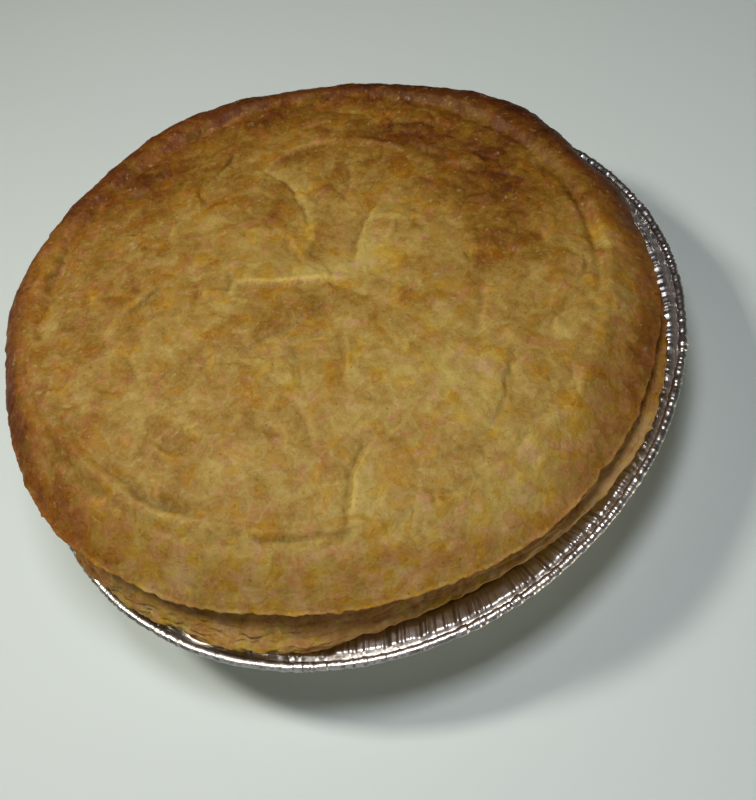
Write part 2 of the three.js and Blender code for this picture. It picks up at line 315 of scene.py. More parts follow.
def around_to(angle, middle, spread):
    """1 at an angle, easing to 0 at a spread to either side of it."""
    away = np.abs((angle - middle + math.pi) % TURN - math.pi)
    return 0.5 + 0.5 * np.cos(np.minimum(away / spread, 1) * math.pi)


def squeezed(angle, squeeze):
    """How far a rim leaves its round, as a factor on its radius."""
    return 1 + squeeze[0] * np.cos(2 * angle) + squeeze[1] * np.sin(2 * angle)


def swollen(angle, bulges):
    """How far an edge bulges, in millimetres, from each bulge's angle, spread and size."""
    return sum(size * around_to(angle, math.radians(middle), math.radians(spread))
               for middle, spread, size in bulges)


def edge_wave(angle, phase):
    """Slow waves round a hand-made pastry edge, about -1 to 1."""
    return sum(np.sin(n * angle + phase * n * n) for n in (3, 5, 8, 13)) / 4


def grain(points, size, seed, octaves=1):
    """Noise of about -1 to 1 at each point, with features of that size."""
    scaled = np.asarray(points) / size + seed * 31.7
    if octaves == 1:
        return np.array([noise.noise(p) for p in scaled.tolist()])
    return np.array([noise.fractal(p, 1.0, 2.0, octaves) for p in scaled.tolist()])


def around(angle, height=0.0):
    """Points on a ring about as wide as the pie, where noise has no seam."""
    level = np.zeros_like(angle) + height
    return np.stack([NOISE_RING * np.cos(angle), NOISE_RING * np.sin(angle), level], axis=1)


def mixed(texture, amounts):
    """The sum of a texture's patterns, each times its amount."""
    return sum(amount * texture[name] for name, amount in amounts.items())


def chance(number):
    """A repeatable random share for each whole number."""
    return np.abs(np.sin(number * 12.9898) * 43758.5453) % 1


def flakes(points, size, seed):
    """A repeatable random share for each flake of a surface broken into flakes of that size."""
    scaled = np.asarray(points) / size + seed * 17.3
    middles = np.array([noise.voronoi(p)[1][0][:] for p in scaled.tolist()])
    return np.abs(np.sin(middles @ np.array([12.9898, 78.233, 37.719])) * 43758.5453) % 1


def pleats(angle, count, drift, seed):
    """Pleats crimped by hand round a rim: 0 in their sharp valleys, up to about 1 on top."""
    phase = angle / TURN * count + drift * grain(around(angle), 7 * MM, seed)
    number = np.floor(phase)
    part = phase - number
    own = chance(number % count + seed)
    lean = chance(number % count + seed + 0.37) - 0.5
    return np.sin(math.pi * part) * (0.35 + 0.65 * own) + 0.5 * lean * np.sin(TURN * part)


def strata(angle, height, thickness, size, seed):
    """Flaky layers at a broken pastry edge: how far each layer stands out, ragged along its
    length, and 1 in the seams between layers."""
    drift = 0.8 * thickness * grain(around(angle), 22 * MM, seed, 2)
    place = (height + drift) / thickness
    layer = np.floor(place)
    seam = np.exp(-((place - layer - 0.5) ** 2 - 0.25) ** 2 / 0.004)
    return grain(around(angle, layer * 0.11), size, seed + 1, octaves=3), seam


def lid_droop(angle, radius):
    """How far the lid's edge hangs at the front, in millimetres."""
    return swollen(angle, LID_DROOPS) * share(radius, 76 * MM, LID_RADIUS) ** 1.5


def lid_shift(x, y):
    """How far the lid stands off its level at the middle: its slope, front sag and droop."""
    dx = x - LID_CENTRE.x
    dy = y - LID_CENTRE.y
    radius = np.maximum(np.hypot(dx, dy), MM)
    front = np.maximum(0, -dy / radius) ** 2
    sag = LID_SAG * front * share(radius, LID_SHOULDER, LID_RADIUS)
    droop = MM * lid_droop(np.arctan2(dy, dx), radius)
    return LID_SLOPE[0] * dx + LID_SLOPE[1] * dy - sag - droop


def lid_lip(angle):
    """How far the lid's lip turns up: least where it is baked onto the crust."""
    droop = 1.8 * around_to(angle, *MERGED) + 0.3 * around_to(angle, *DROOPED)
    return LID_LIP * (1 - np.minimum(droop, 1.6))


def lid_underside(x, y):
    """Height of the lid's underside, which turns up from its shoulder to its lip."""
    radius = np.hypot(x - LID_CENTRE.x, y - LID_CENTRE.y)
    turn_up = lid_lip(np.arctan2(y, x)) * share(radius, LID_SHOULDER, LID_RADIUS)
    return LID_BOTTOM + turn_up + lid_shift(x, y)


def coordinates(mesh):
    """The mesh's points as rows of x, y and z."""
    flat = np.empty(len(mesh.vertices) * 3)
    mesh.vertices.foreach_get("co", flat)
    return flat.reshape(-1, 3)


def finished(name, bm, place, material, node):
    """The piece made from a plain body whose every point is moved by place(), which also gives
    the marks that its material reads."""
    bmesh.ops.remove_doubles(bm, verts=bm.verts, dist=0.001 * MM)
    bmesh.ops.recalc_face_normals(bm, faces=bm.faces)
    mesh = bpy.data.meshes.new(name)
    bm.to_mesh(mesh)
    bm.free()
    points, marks = place(*coordinates(mesh).T)
    mesh.vertices.foreach_set("co", np.stack(points, axis=1).ravel())
    for mark, values in marks.items():
        layer = mesh.attributes.new(mark, "FLOAT", "POINT")
        layer.data.foreach_set("value", np.asarray(values, dtype=np.float32))
    mesh.polygons.foreach_set("use_smooth", [True] * len(mesh.polygons))
    mesh.update()
    mesh.materials.append(material)
    piece = bpy.data.objects.new(name, mesh)
    bpy.context.scene.collection.objects.link(piece)
    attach(piece, "root")
    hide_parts(node)
    return piece


def turned(profile, steps, closed=False, wedges=24):
    """A skin turned about Z from (radius, height) points: one wedge is spun and repeated."""
    bm = bmesh.new()
    points = [bm.verts.new((radius, 0, height)) for radius, height in profile]
    pairs = zip(points, points[1:] + points[:1]) if closed else zip(points, points[1:])
    edges = [bm.edges.new(pair) for pair in pairs]
    bmesh.ops.spin(bm, geom=points + edges, cent=(0, 0, 0), axis=(0, 0, 1),
                   angle=TURN / wedges, steps=steps // wedges)
    wedge = bm.verts[:] + bm.edges[:] + bm.faces[:]
    for i in range(1, wedges):
        made = bmesh.ops.duplicate(bm, geom=wedge)["geom"]
        bmesh.ops.rotate(bm, cent=(0, 0, 0), matrix=Matrix.Rotation(TURN * i / wedges, 3, "Z"),
                         verts=[v for v in made if isinstance(v, bmesh.types.BMVert)])
    return bm


def stepped(points, spacing):
    """The same line with points no further apart than spacing."""
    line = [points[0]]
    for start, end in zip(points, points[1:]):
        count = max(1, math.ceil(math.dist(start, end) / spacing))
        for i in range(1, count + 1):
            line.append(tuple(a + (b - a) * i / count for a, b in zip(start, end)))
    return line


def arc(centre, radius, first, last, count):
    """Points on an arc, with angles in degrees."""
    turns = [math.radians(first + (last - first) * i / count) for i in range(count + 1)]
    return [(centre[0] + radius * math.cos(t), centre[1] + radius * math.sin(t)) for t in turns]


# ---------------------------------------------------------------- materials

def linear(code):
    """An sRGB hex colour as linear RGBA."""
    channels = [int(code[i:i + 2], 16) / 255 for i in (1, 3, 5)]
    return tuple(c / 12.92 if c <= 0.04045 else ((c + 0.055) / 1.055) ** 2.4
                 for c in channels) + (1.0,)


def new_material(name):
    """A material with only its Principled shader and output."""
    material = bpy.data.materials.new(name)
    material.use_nodes = True
    return material, material.node_tree


def add(tree, kind, settings=None, links=None):
    """Adds a node, with its settings by name and its inputs as values or as sockets."""
    made = tree.nodes.new(kind)
    for key, value in (settings or {}).items():
        setattr(made, key, value)
    for key, value in (links or {}).items():
        if isinstance(value, bpy.types.NodeSocket):
            tree.links.new(value, made.inputs[key])
        else:
            made.inputs[key].default_value = value
    return made


def pastry_patterns(tree, place):
    """The noises of baked pastry by name, and random shares for each of its flakes and chips."""
    patterns = {}
    for name, (size, detail, roughness, distortion) in PASTRY_NOISES.items():
        patterns[name] = add(tree, "ShaderNodeTexNoise", links={
            "Vector": place, "Scale": 1 / (size * MM), "Detail": detail,
            "Roughness": roughness, "Distortion": distortion}).outputs["Fac"]
    stacked = add(tree, "ShaderNodeMath", {"operation": "MULTIPLY"}, {
        0: patterns["sheet"], 1: PASTRY_SHEETS}).outputs[0]
    patterns["sheet"] = add(tree, "ShaderNodeMath", {"operation": "FRACT"}, {0: stacked}).outputs[0]
    bend = add(tree, "ShaderNodeTexNoise", links={
        "Vector": place, "Scale": 1 / (5 * MM), "Detail": 3.0, "Roughness": 0.6})
    bent = add(tree, "ShaderNodeVectorMath", {"operation": "MULTIPLY_ADD"}, {
        0: bend.outputs["Color"], 1: (CELL_BEND, CELL_BEND, CELL_BEND), 2: place}).outputs[0]
    for name, size in PASTRY_CELLS.items():
        cell = add(tree, "ShaderNodeTexVoronoi", links={"Vector": bent, "Scale": 1 / (size * MM)})
        own = add(tree, "ShaderNodeSeparateColor", links={"Color": cell.outputs["Color"]})
        for i, change in enumerate(CELL_SHARES):
            patterns[f"{name} {change}"] = own.outputs[i]
    return patterns


def pastry_skin(tree, patterns, bake_and_painted_shading):
    """The skin's golden, amber and pinkish colours, each browned by the baking mark (which also
    holds painted light and shade) and by the patterns.
    """
    level = bake_and_painted_shading
    for name, amount in BROWNING.items():
        level = add(tree, "ShaderNodeMath", {"operation": "MULTIPLY_ADD"}, {
            0: patterns[name], 1: amount, 2: level}).outputs[0]
    level = add(tree, "ShaderNodeMath", {"operation": "SUBTRACT"}, {
        0: level, 1: sum(BROWNING.values()) / 2}).outputs[0]
    skins = []
    for codes in (GOLDEN, AMBER, PINKISH):
        tones = add(tree, "ShaderNodeValToRGB", links={"Fac": level})
        elements = tones.color_ramp.elements
        while len(elements) < len(codes):
            elements.new(0.5)
        for i, (element, code) in enumerate(zip(elements, codes)):
            element.position = i / (len(codes) - 1)
            element.color = linear(code)
        skins.append(tones.outputs["Color"])
    return skins


def pastry_colour(tree, patterns, bake_and_painted_shading, blush_and_shade):
    """Golden skin under patches of amber and of pinkish brown, which follow the pink mark (on the
    crust partly a painted redder shade), with painted glints as pale flecks and burnt specks on
    top."""
    golden, amber, pinkish = pastry_skin(tree, patterns, bake_and_painted_shading)
    patches = {}
    for name, amount in (("amber", 0.1), ("pink", 0.14)):
        own = add(tree, "ShaderNodeMath", {"operation": "MULTIPLY_ADD"}, {
            0: patterns[f"flake {name}"], 1: amount, 2: blush_and_shade}).outputs[0]
        patches[name] = add(tree, "ShaderNodeMath", {"operation": "ADD"}, {
            0: patterns[name], 1: own}).outputs[0]
    colour = golden
    for pattern, start, full, most, over in (
            (patches["amber"], 0.49, 0.69, 0.9, amber),
            (patches["pink"], 0.55, 0.75, 0.9, pinkish),
            # painted glints: pale flecks in place of highlights on the egg wash
            (patterns["painted_glint"], 0.6, 0.74, 0.5, linear(PAINTED_GLINT)),
            (patterns["speck"], 0.66, 0.76, 0.5, linear(BURNT_SPECK))):
        cover = add(tree, "ShaderNodeMapRange", {"interpolation_type": "SMOOTHSTEP"}, {
            "Value": pattern, "From Min": start, "From Max": full, "To Max": most}).outputs[0]
        colour = add(tree, "ShaderNodeMix", {"data_type": "RGBA"}, {
            0: cover, 6: colour, 7: over}).outputs[2]
    return colour


def pastry_relief(tree, patterns):
    """The skin's relief: steps at the edges of lifted sheets, under a fine crumbly grain."""
    lifted = add(tree, "ShaderNodeBump", links={
        "Strength": 0.8, "Distance": 0.2 * MM, "Height": patterns["sheet"]})
    crumbly = add(tree, "ShaderNodeMath", {"operation": "MULTIPLY_ADD"}, {
        0: patterns["grit"], 1: 0.5, 2: patterns["relief"]})
    relief = add(tree, "ShaderNodeBump", links={
        "Strength": 0.8, "Distance": 0.38 * MM, "Height": crumbly.outputs[0],
        "Normal": lifted.outputs["Normal"]})
    return relief.outputs["Normal"]


def baked_pastry(name):
    """Egg-washed puff pastry, baked: golden where it is thin and flat, brown where it stood
    proud or lay by the edge. Its skin is broken into flakes a few millimetres across, some
    olive gold and some pinkish brown, with a dull satin shine and small painted glints. It reads
    three marks on the mesh: how baked it is, which also holds some painted light and shade; its
    painted shading, from -1 for a painted highlight on a ridge to 1 for painted shade in a fold;
    and how pink it is, on the crust partly a painted redder shade."""
    material, tree = new_material(name)
    shader = tree.nodes["Principled BSDF"]
    place = add(tree, "ShaderNodeTexCoord").outputs["Object"]
    bake_and_painted_shading, painted_shading, blush_and_shade = [add(tree, "ShaderNodeAttribute", {"attribute_name": mark}).outputs["Fac"]
                           for mark in ("bake_and_painted_shading", "painted_shading", "blush_and_shade")]
    patterns = pastry_patterns(tree, place)
    # Painted shading: the colour is scaled up on painted highlights and down in painted shade.
    shade = add(tree, "ShaderNodeMapRange", links={
        "Value": painted_shading, "From Min": -1.0, "To Min": 1.3, "To Max": 0.58}).outputs[0]
    colour = add(tree, "ShaderNodeVectorMath", {"operation": "SCALE"}, {
        0: pastry_colour(tree, patterns, bake_and_painted_shading, blush_and_shade), "Scale": shade}).outputs[0]
    rough = add(tree, "ShaderNodeMapRange", links={
        "Value": patterns["blotch"], "From Min": 0.3, "From Max": 0.7, "To Min": 0.45,
        "To Max": 0.68}).outputs[0]
    tree.links.new(colour, shader.inputs["Base Color"])
    tree.links.new(rough, shader.inputs["Roughness"])
    tree.links.new(pastry_relief(tree, patterns), shader.inputs["Normal"])
    shader.inputs["IOR"].default_value = 1.45
    shader.inputs["Specular IOR Level"].default_value = 0.25
    return material


def pressed_foil():
    """Thin rolled aluminium, pressed and crimped: bright, with a soft blur along each wrinkle."""
    material, tree = new_material("pressed_aluminium_foil")
    shader = tree.nodes["Principled BSDF"]
    place = add(tree, "ShaderNodeTexCoord").outputs["Object"]
    scuffs = add(tree, "ShaderNodeTexNoise", links={
        "Vector": place, "Scale": 1 / (2 * MM), "Detail": 4.0, "Roughness": 0.6}).outputs["Fac"]
    rough = add(tree, "ShaderNodeMapRange", links={
        "Value": scuffs, "From Min": 0.3, "From Max": 0.7, "To Min": 0.27,
        "To Max": 0.42}).outputs[0]
    tree.links.new(rough, shader.inputs["Roughness"])
    shader.inputs["Base Color"].default_value = linear("#e9e5de")
    shader.inputs["Metallic"].default_value = 1.0
    relief = add(tree, "ShaderNodeBump", links={
        "Strength": 0.4, "Distance": 0.2 * MM, "Height": scuffs})
    tree.links.new(relief.outputs["Normal"], shader.inputs["Normal"])
    return material


# ---------------------------------------------------------------- foil dish

def in_dish(radius, angle, height):
    """The dish keeps a round base and takes up its squeeze towards the rim."""
    rise = share(height, 0, dish_high.z)
    factor = 1 + rise * (squeezed(angle, DISH_SQUEEZE) - 1)
    return radius * factor * np.cos(angle), radius * factor * np.sin(angle), height


def bowl_profile():
    """Half section of the bowl: a base with a pressed ring, a rounded heel and a sloping wall
    that ends under the flange."""
    profile = stepped([(0, FOIL), (0.55 * BASE, FOIL)], 15 * MM)
    profile += stepped([profile[-1], (0.6 * BASE, BASE_STEP), (0.9 * BASE, BASE_STEP),
                        (0.95 * BASE, FOIL), (BASE, FOIL)], 8 * MM)[1:]
    profile += arc((BASE, HEEL_BEND + 0.1 * MM), HEEL_BEND, -80, -28, 3)
    profile += stepped([profile[-1], (FLANGE - 1.2 * MM, FLANGE_HEIGHT - 2.2 * MM)], 2.4 * MM)[1:]
    return profile + [(FLANGE + 0.8 * MM, FLANGE_HEIGHT - 1.4 * MM)]


def dish_bowl(foil):
    """Base and wall of the dish. The wall is crimped into pleats, with slow dents."""
    pleat_depth = 0.75 * MM
    dent_depth = 0.5 * MM

    def place(x, y, height):
        radius = np.hypot(x, y)
        angle = np.arctan2(y, x)
        wall = share(radius, HEEL - 3 * MM, HEEL + 10 * MM)
        wall = wall * (1 - share(height, FLANGE_HEIGHT - 7 * MM, FLANGE_HEIGHT - 2.5 * MM))
        crimps = pleats(angle, PLEATS, 1.1, 3) - 0.5
        dents = grain(around(angle, height), 16 * MM, 9)
        radius = radius + (pleat_depth * crimps + dent_depth * dents) * wall
        return in_dish(radius, angle, np.maximum(height, BASE_CLEARANCE)), {}

    piece = finished("foil_dish_bowl", turned(bowl_profile(), BOWL_STEPS), place, foil,
                     "foil_dish")
    skin = piece.modifiers.new("foil_thickness", "SOLIDIFY")
    skin.thickness = FOIL
    skin.offset = 0.0


def rim_profile():
    """Closed section of the rim: flange, low shoulder, groove, and the bead, which turns over
    tightly on its outside and is tucked in below."""
    profile = [(FLANGE - 1.0 * MM, FLANGE_HEIGHT - 2.4 * MM),
               (FLANGE - 0.4 * MM, FLANGE_HEIGHT - 0.9 * MM)]
    profile += stepped([(FLANGE + 0.6 * MM, FLANGE_HEIGHT - 0.1 * MM),
                        (GROOVE - 2.2 * MM, FLANGE_HEIGHT + 0.2 * MM)], 1.0 * MM)
    profile += [(GROOVE - 1.4 * MM, FLANGE_HEIGHT + 0.25 * MM),
                (GROOVE - 0.9 * MM, FLANGE_HEIGHT - 0.1 * MM),
                (GROOVE - 0.4 * MM, FLANGE_HEIGHT - 0.8 * MM),
                (GROOVE + 0.1 * MM, FLANGE_HEIGHT - 1.1 * MM),
                (GROOVE + 0.6 * MM, FLANGE_HEIGHT - 0.8 * MM)]
    roll = arc((0, 0), 1.0, 175, 45, 9)  # in bead radii
    roll += [(0.95, 0.46), (0.99, 0.4), (0.98, 0.3), (0.6, -0.6), (-0.2, -0.9), (-0.8, -0.75)]
    profile += [(BEAD_CENTRE[0] + x * (BEAD_RADIUS - 0.1 * MM),
                 BEAD_CENTRE[1] + z * (BEAD_RADIUS - 0.2 * MM)) for x, z in roll]
    profile += [(GROOVE + 0.1 * MM, FLANGE_HEIGHT - 1.4 * MM),
                (GROOVE - 1.3 * MM, FLANGE_HEIGHT - 0.3 * MM),
                (FLANGE + 1.0 * MM, FLANGE_HEIGHT - 0.7 * MM)]
    return profile


def rim_crimps(angle):
    """Pleats and sharp ridges across the flange, about -0.5 to 1."""
    ridges = 0.6 - 2 * np.abs(grain(around(angle), 3.2 * MM, 6, 2))
    return 0.5 * pleats(angle, PLEATS, 1.4, 3) + 0.6 * ridges - 0.25


def bead_ticks(angle):
    """Small sharp dents along the bead, in patches."""
    patchy = 0.7 + 0.6 * grain(around(angle), 14 * MM, 12)
    return patchy * (1.3 * grain(around(angle), 1.1 * MM, 8, 2)
                     + 0.8 * grain(around(angle), 4 * MM, 10, 2))


def dish_rim(foil):
    """Crimped flange, groove and rolled bead, as one thin closed ring."""
    def place(x, y, height):
        radius = np.hypot(x, y)
        angle = np.arctan2(y, x)
        bead = share(radius, GROOVE + 0.1 * MM, GROOVE + 0.9 * MM)
        flat = share(radius, FLANGE - 1.0 * MM, FLANGE + 1.0 * MM)
        flat = flat * (1 - share(radius, GROOVE - 1.6 * MM, GROOVE))
        slant = angle + 0.012 * (radius - FLANGE) / (8 * MM) * np.sin(7 * angle)
        crimps = rim_crimps(slant)
        dents = grain(around(angle), 14 * MM, 9)
        knocks = grain(around(angle, height), 2.2 * MM, 7, 2)
        away = np.stack([radius - BEAD_CENTRE[0], height - BEAD_CENTRE[1]])
        away /= np.maximum(np.hypot(*away), 0.2 * MM)
        out = (0.34 * bead_ticks(slant) + 0.08 * crimps + 0.15 * knocks) * bead * MM
        radius = radius + out * away[0] + (0.3 * dents - 0.25) * bead * MM
        lean = around_to(angle, *DISHED) * share(GROOVE - radius, -0.6 * MM, 3.5 * MM)
        lift = (1.1 * crimps + 0.25 * dents) * flat - 0.3 * lean
        return in_dish(radius, angle, height + lift * MM + out * away[1] - 0.2 * MM), {}

    finished("foil_dish_rim", turned(rim_profile(), RIM_STEPS, closed=True), place, foil,
             "foil_dish")


# ---------------------------------------------------------------- pastry case

def case_profile():
    """Half section of the case: a body that fills the dish, a crust that stands over the flange,
    and a rim under the lid."""
    profile = stepped([(0, CASE_FLOOR), (BASE - GAP, CASE_FLOOR)], 20 * MM)
    profile += stepped([(HEEL - 2.4 * MM, CASE_FLOOR + 1.2 * MM),
                        (FLANGE - 4 * MM, 31 * MM)], 6 * MM)
    profile += [(FLANGE - 6 * MM, CRUST_BOTTOM - 3 * MM)]
    profile += stepped([(CRUST - 8 * MM, CRUST_BOTTOM - 1.5 * MM),
                        (CRUST - 3 * MM, CRUST_BOTTOM)], 1.5 * MM)
    profile += stepped([(CRUST - 0.8 * MM, CRUST_BOTTOM + 1.2 * MM),
                        (CRUST, CRUST_BOTTOM + 1.9 * MM),
                        (CRUST + 0.2 * MM, CRUST_BOTTOM + 3.0 * MM),
                        (CRUST - 0.1 * MM, CRUST_BOTTOM + 4.0 * MM),
                        (CRUST - 3 * MM, CRUST_BOTTOM + 6.2 * MM),
                        (CRUST - 8 * MM, RIM_TOP)], 0.4 * MM)
    profile += stepped([(CRUST - 8 * MM, RIM_TOP), (NECK, CASE_TOP - 1.2 * MM)], 1.2 * MM)[1:]
    return profile + stepped([(NECK - 0.5 * MM, CASE_TOP), (0, CASE_TOP)], 20 * MM)


def crust_texture(angle, height):
    """Patterns of the broken crust, about -1 to 1: flaky layers, the seams between them (0 to
    1), crumbs and slow waves."""
    layers, seams = strata(angle, height, CRUST_LAYER, 8 * MM, 11)
    return {
        "layers": layers,
        "seams": seams,
        "crumbs": grain(around(angle, height), 1.6 * MM, 13, 2),
        "waves": grain(around(angle, height * 0.3), 26 * MM, 15),
    }


def crust_reach(radius, angle, texture, side, rise):
    """How far the crust's points stand from its centre. It bulges towards the lid, most where
    the two are one flaky edge."""
    merged = around_to(angle, *MERGED)
    swell = swollen(angle, CRUST_BULGES) - 0.1 + 0.3 * edge_wave(angle, 0.7)
    crackle = 0.6 * side * grain(around(angle), 4 * MM, 19, 4)
    rough = mixed(texture, CRUST_RELIEF) + 0.9 * merged * texture["layers"] + crackle
    bulge = (8 * merged + 3 * around_to(angle, *PARTING)) * rise ** 2
    reach = radius + (swell * share(radius, NECK, CRUST) + side * (rough + bulge)) * MM
    return reach * squeezed(angle, CRUST_SQUEEZE)


def crust_lift(radius, angle, height, texture, side, rise):
    """Small lifts of the crust's edge: crumbs, a curled and ragged lower edge, and a welt up
    to the lid where the two are one flaky edge."""
    curl = 2.0 * around_to(angle, *CURLED) * (1 - rise)
    ragged = 0.5 * grain(around(angle), 5 * MM, 17, 3) * (height < CRUST_BOTTOM + 1.2 * MM)
    welt = hump(radius - CRUST + 8.5 * MM, 2 * MM) * (height > RIM_TOP - 3 * MM)
    welt = 1.8 * around_to(angle, *MERGED) * welt
    return (side * (0.25 * rise * texture["crumbs"] + curl + ragged) + welt) * MM


def crust_marks(angle, height, texture, side, rise):
    """How baked the crust is, with painted shade at its top under the lid and painted light on its
    face; its painted shading; and how pink it is, partly a painted redder shade.
    """
    apart = 1 - around_to(angle, *MERGED)
    bake_and_painted_shading = 0.26 + mixed(texture, CRUST_BAKING) + 0.5 * around_to(angle, *BROWN_CRUST)
    # Painted shade: darker and redder at the crust's top, under the lid.
    bake_and_painted_shading += 0.3 * share(height, RIM_TOP - 4 * MM, RIM_TOP) * apart
    # Painted light: paler on the crust's face under the lid's edge.
    bake_and_painted_shading -= 0.3 * side * (1 - rise) * around_to(angle, *PAINTED_LIGHT_CRUST)
    bake_and_painted_shading -= 0.12 * side * around_to(angle, *PAINTED_LIGHT_MERGED_CRUST)
    # A painted highlight along the crust's outer edge.
    edge_highlight = hump(height - CRUST_BOTTOM - 3 * MM, 1.2 * MM)
    # Painted light: the crust's face is brighter at the front right.
    bright = around_to(angle, *PAINTED_BRIGHT_CRUST)
    # Painted shade in the seams between layers.
    painted_shading = side * (0.6 * texture["seams"] - 0.5 * edge_highlight - 0.6 * bright)
    # Partly painted shade: redder towards the crust's top, where it lies under the lid.
    blush_and_shade = 0.08 + 0.05 * texture["waves"] + 0.2 * side * rise * apart
    return {"bake_and_painted_shading": bake_and_painted_shading, "painted_shading": painted_shading, "blush_and_shade": blush_and_shade}


def pastry_case(pastry):
    """The case, filled up to the lid: its crust stands over the flange and follows the lid's
    underside, with a gap where the two part."""
    def place(x, y, height):
        radius = np.hypot(x, y)
        angle = np.arctan2(y, x)
        side = eased(radius, CRUST - 9 * MM, CRUST - 2 * MM) * (height > CRUST_BOTTOM - 1 * MM)
        rise = share(height, CRUST_BOTTOM, RIM_TOP)
        texture = crust_texture(angle, height)
        reach = crust_reach(radius, angle, texture, side, rise)
        dx, dy, dz = in_dish(radius, angle, height)
        over = share(height, CRUST_BOTTOM - 3 * MM, CRUST_BOTTOM - 1.5 * MM)
        px = dx + (CRUST_CENTRE.x + reach * np.cos(angle) - dx) * over
        py = dy + (CRUST_CENTRE.y + reach * np.sin(angle) - dy) * over
        gape = PARTING_DEPTH * around_to(angle, *PARTING) * share(radius, NECK, CRUST - 6 * MM)
        room = lid_underside(px, py) - GAP - CRUST_BOTTOM - gape
        above = CRUST_BOTTOM + share(height, CRUST_BOTTOM, CASE_TOP) * room
        pz = np.where(height > CRUST_BOTTOM, above, dz)
        pz = pz + crust_lift(radius, angle, height, texture, side, rise)
        return (px, py, pz), crust_marks(angle, height, texture, side, rise)

    finished("pastry_case_crust", turned(case_profile(), CRUST_STEPS), place, pastry,
             "pastry_case")


# ---------------------------------------------------------------- pastry lid

def fold_marks(x, y, start, end, bow, depth, width, lift, tone):
    """What one fold adds to the lid: its height, its painted shade and highlight, and its browning.
    """
    start, end = Vector(start), Vector(end)
    along = (end - start).normalized()
    middle = (start + end) / 2 + Vector((-along.y, along.x)) * bow * 2
    steps = np.linspace(0, 1, FOLD_STEPS + 1)[:, None]
    line = ((1 - steps) ** 2 * np.array(start) + 2 * steps * (1 - steps) * np.array(middle)
            + steps ** 2 * np.array(end))
    away = np.hypot(x[:, None] - line[None, :, 0], y[:, None] - line[None, :, 1])
    nearest = away.argmin(axis=1)
    distance = away.min(axis=1)
    heading = np.gradient(line, axis=0)[nearest]
    side = np.sign(heading[:, 0] * (y - line[nearest, 1]) - heading[:, 1] * (x - line[nearest, 0]))
    fade = np.sqrt(np.sin(math.pi * np.clip(nearest / FOLD_STEPS, 0.01, 0.99)))
    groove = depth * hump(distance, width)
    step = np.tanh(side * distance / 0.6)
    rise = lift * step * np.exp(-distance / (3.5 * width))
    # Painted shade in the groove, and a painted highlight on the raised side.
    dark = depth * hump(distance, 0.5 * width)
    pale = 0.7 * abs(lift) * hump(distance * side * np.sign(lift) - 1.0, 0.95)
    brown = tone * step * np.exp(-distance / 7)
    return fade * (rise - groove), fade * (dark - pale), fade * brown


def small_folds():
    """Random small folds all over the lid, which mostly run round it, each like a fold above."""
    rng = np.random.RandomState(SMALL_FOLD_SEED)
    folds = []
    for _ in range(SMALL_FOLDS):
        far = 101 * math.sqrt(rng.uniform())
        turn = rng.uniform(0, TURN)
        way = turn + math.pi / 2 + rng.normal(0, 0.7)
        half = rng.uniform(2, 7)
        middle = Vector((far * math.cos(turn), far * math.sin(turn)))
        along = Vector((math.cos(way), math.sin(way))) * half
        folds.append((middle - along, middle + along, rng.normal(0, 0.25) * half,
                      rng.uniform(0, 0.5), rng.uniform(0.7, 1.4), rng.uniform(-0.7, 0.7),
                      rng.normal(0, 0.06)))
    return folds


def lid_relief(x, y):
    """Folds, pillows and small random folds on the lid's top in its own plan: height, painted
    shade and highlights, and browning."""
    flat = np.stack([x, y, np.zeros_like(x)], axis=1)
    x = x / MM + 1.2 * grain(flat, 7 * MM, 41, 3)
    y = y / MM + 1.2 * grain(flat, 7 * MM, 43, 3)
    marks = np.zeros((3, len(x)))
    folds = [(fold, 150) for fold in FOLDS]
    folds += [(fold, math.dist(fold[0], fold[1]) / 2 + 12) for fold in small_folds()]
    for fold, reach in folds:
        middle = (Vector(fold[0]) + Vector(fold[1])) / 2
        near = np.hypot(x - middle.x, y - middle.y) < reach
        marks[:, near] += fold_marks(x[near], y[near], *fold)
    height, painted_shading, brown = marks
    for (px, py), reach, rise in PILLOWS:
        height += rise * hump(np.hypot(x - px, y - py), reach)
    for (px, py), wide, deep, amount in TOASTING:
        brown += amount * hump(x - px, wide) * hump(y - py, deep)
    return height * MM, painted_shading, brown


def lid_edge_height(angle):
    """How high the lid's side face is: a thin lip at the front, and a blunt edge behind."""
    thick = 1.3 + 5.5 * eased(np.sin(angle), 0.0, 0.9)
    return (thick + 1.6 * around_to(angle, *MERGED)) * MM


def lid_top(x, y):
    """Height of the lid's top above its level, before folds: dome, ring groove and broad rim."""
    radius = np.hypot(x, y)
    ring = np.hypot(x - RING_CENTRE.x, y - RING_CENTRE.y)
    past = ring - RING_RADIUS
    angle = np.arctan2(y, x)
    lip = LID_BOTTOM + lid_lip(angle) + lid_edge_height(angle)
    crown = LID_BOTTOM + LID_LIP + LID_EDGE + 1.4 * MM
    dome = LID_BOTTOM + LID_DOME
    inner = dome - (dome - crown + 0.6 * MM) * (ring / RING_RADIUS) ** 2
    from_edge = LID_RADIUS - radius
    roll = share(from_edge, 0, 0.95 * np.maximum(from_edge + past, 4 * MM))
    blunt = 1.25 + 3.9 * eased(np.sin(angle), -0.4, 0.9)
    outer = lip + (crown - lip) * (1 - (1 - roll) ** blunt)
    blend = eased(past, -4 * MM, 4 * MM)
    depth = 1.1 + 0.6 * np.sin(3 * angle + 1) + 0.5 * np.sin(7 * angle + 2)
    depth = depth * (1 - 0.75 * around_to(angle, *RING_FADED))
    groove = -depth * hump(past, 2.0 * MM)
    ridge = 0.5 * hump(past - 4 * MM, 2 * MM)
    second = -0.5 * hump(past - 7.5 * MM, 1.4 * MM) * eased(-np.cos(angle), 0, 1)
    return inner * (1 - blend) + outer * blend + (groove + ridge + second) * MM


